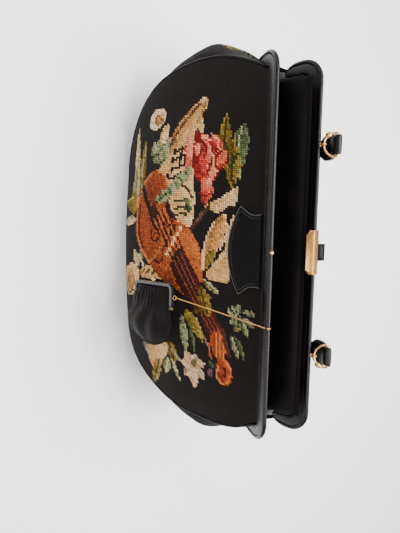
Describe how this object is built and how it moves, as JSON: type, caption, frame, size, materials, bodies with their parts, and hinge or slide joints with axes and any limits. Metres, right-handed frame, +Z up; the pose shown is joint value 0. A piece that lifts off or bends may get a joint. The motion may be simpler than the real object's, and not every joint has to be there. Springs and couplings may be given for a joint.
{
  "type": "knitting bag",
  "caption": "Standing black needlepoint knitting bag on a hinged leather-covered frame with a lift clasp, a rolled handle on rings and a coin purse on a chain.",
  "frame": {"origin": "middle of the flat underside of the base", "axes": "+Z up, +X to the right of a viewer facing the front panel, front facing -Y"},
  "size_m": [0.4626, 0.2034, 0.2664],
  "materials": {
    "steel": "satin",
    "gilt_brass": "polished",
    "black_leather": "smooth, semi-gloss",
    "needlepoint": "woollen needlepoint, black ground",
    "lining_cloth": "plain weave, matt",
    "moire_cloth": "ribbed, soft sheen",
    "black_enamel": "gloss black",
    "board": "matt"
  },
  "bodies": {
    "bag": {"front_panel": "needlepoint", "rear_panel": "needlepoint", "gusset_left": "needlepoint", "gusset_right": "needlepoint", "base_panel": "needlepoint", "base_board": "board", "lining": "lining_cloth", "lining_pocket": "lining_cloth", "front_welt": "black_leather", "rear_welt": "black_leather", "front_tab": "black_leather", "hinge_rivet_left": "steel", "hinge_rivet_right": "steel"},
    "front_frame": {"front_frame_steel": "steel", "front_frame_leather": "black_leather", "front_hinge_plate_left": "steel", "front_hinge_plate_right": "steel", "catch_stud": "gilt_brass", "chain_anchor": "gilt_brass", "chain_over_bar": "gilt_brass"},
    "rear_frame": {"rear_frame_steel": "steel", "rear_frame_leather": "black_leather", "rear_hinge_plate_left": "steel", "rear_hinge_plate_right": "steel", "clasp_bracket": "gilt_brass", "clasp_pin": "gilt_brass", "ring_eyelet_left": "gilt_brass", "ring_eyelet_right": "gilt_brass"},
    "clasp": {"clasp_plate": "gilt_brass"},
    "rings": {"handle_ring_left": "gilt_brass", "ring_ball_left": "gilt_brass", "handle_ring_right": "gilt_brass", "ring_ball_right": "gilt_brass"},
    "handle": {"handle_grip": "black_leather", "handle_end_left": "black_leather", "handle_end_right": "black_leather"},
    "chain": {"purse_chain": "gilt_brass"},
    "coin_purse": {"purse_rear_frame": "black_enamel", "purse_front_cloth": "moire_cloth", "purse_rear_cloth": "moire_cloth", "purse_pin_lower": "gilt_brass", "purse_pin_upper": "gilt_brass", "purse_jump_ring": "gilt_brass", "purse_snap_rear": "gilt_brass"},
    "purse_front": {"purse_front_frame": "black_enamel", "purse_snap_front": "gilt_brass"}
  },
  "joints": [
    {"name": "front_hinge", "type": "hinge", "parent": "bag", "child": "front_frame", "pos_m": [0, 0, 0.132], "axis": [-1, 0, 0], "range_deg": [0, 20], "deforming": ["front_panel"]},
    {"name": "rear_hinge", "type": "hinge", "parent": "bag", "child": "rear_frame", "pos_m": [0, 0, 0.132], "axis": [1, 0, 0], "range_deg": [0, 5.5]},
    {"name": "clasp_lift", "type": "hinge", "parent": "rear_frame", "child": "clasp", "pos_m": [0, 0.01928, 0.24668], "axis": [-1, 0, 0], "range_deg": [0, 60], "stiffness_Nm_per_rad": 0.02},
    {"name": "rings_swing", "type": "hinge", "parent": "rear_frame", "child": "rings", "pos_m": [0, 0.01468, 0.25315], "axis": [1, 0, 0], "range_deg": [0, 50]},
    {"name": "handle_swing", "type": "hinge", "parent": "rings", "child": "handle", "pos_m": [0, 0.0254, 0.26215], "axis": [1, 0, 0], "range_deg": [0, 109]},
    {"name": "chain_swing", "type": "hinge", "parent": "front_frame", "child": "chain", "pos_m": [0.0755, -0.04553, 0.241], "axis": [-1, 0, 0], "range_deg": [0, 50]},
    {"name": "purse_swing", "type": "hinge", "parent": "chain", "child": "coin_purse", "pos_m": [0.0555, -0.0892, 0.14353], "axis": [0, -0.9681, 0.2504], "range_deg": [-15, 20]},
    {"name": "purse_open", "type": "hinge", "parent": "coin_purse", "child": "purse_front", "pos_m": [0.0683, -0.0905, 0.1385], "axis": [0, 0.2504, 0.9681], "range_deg": [0, 50]}
  ],
  "couplings": [
    {"joint": "rear_hinge", "follows": "front_hinge", "ratio": 0.275}
  ]
}
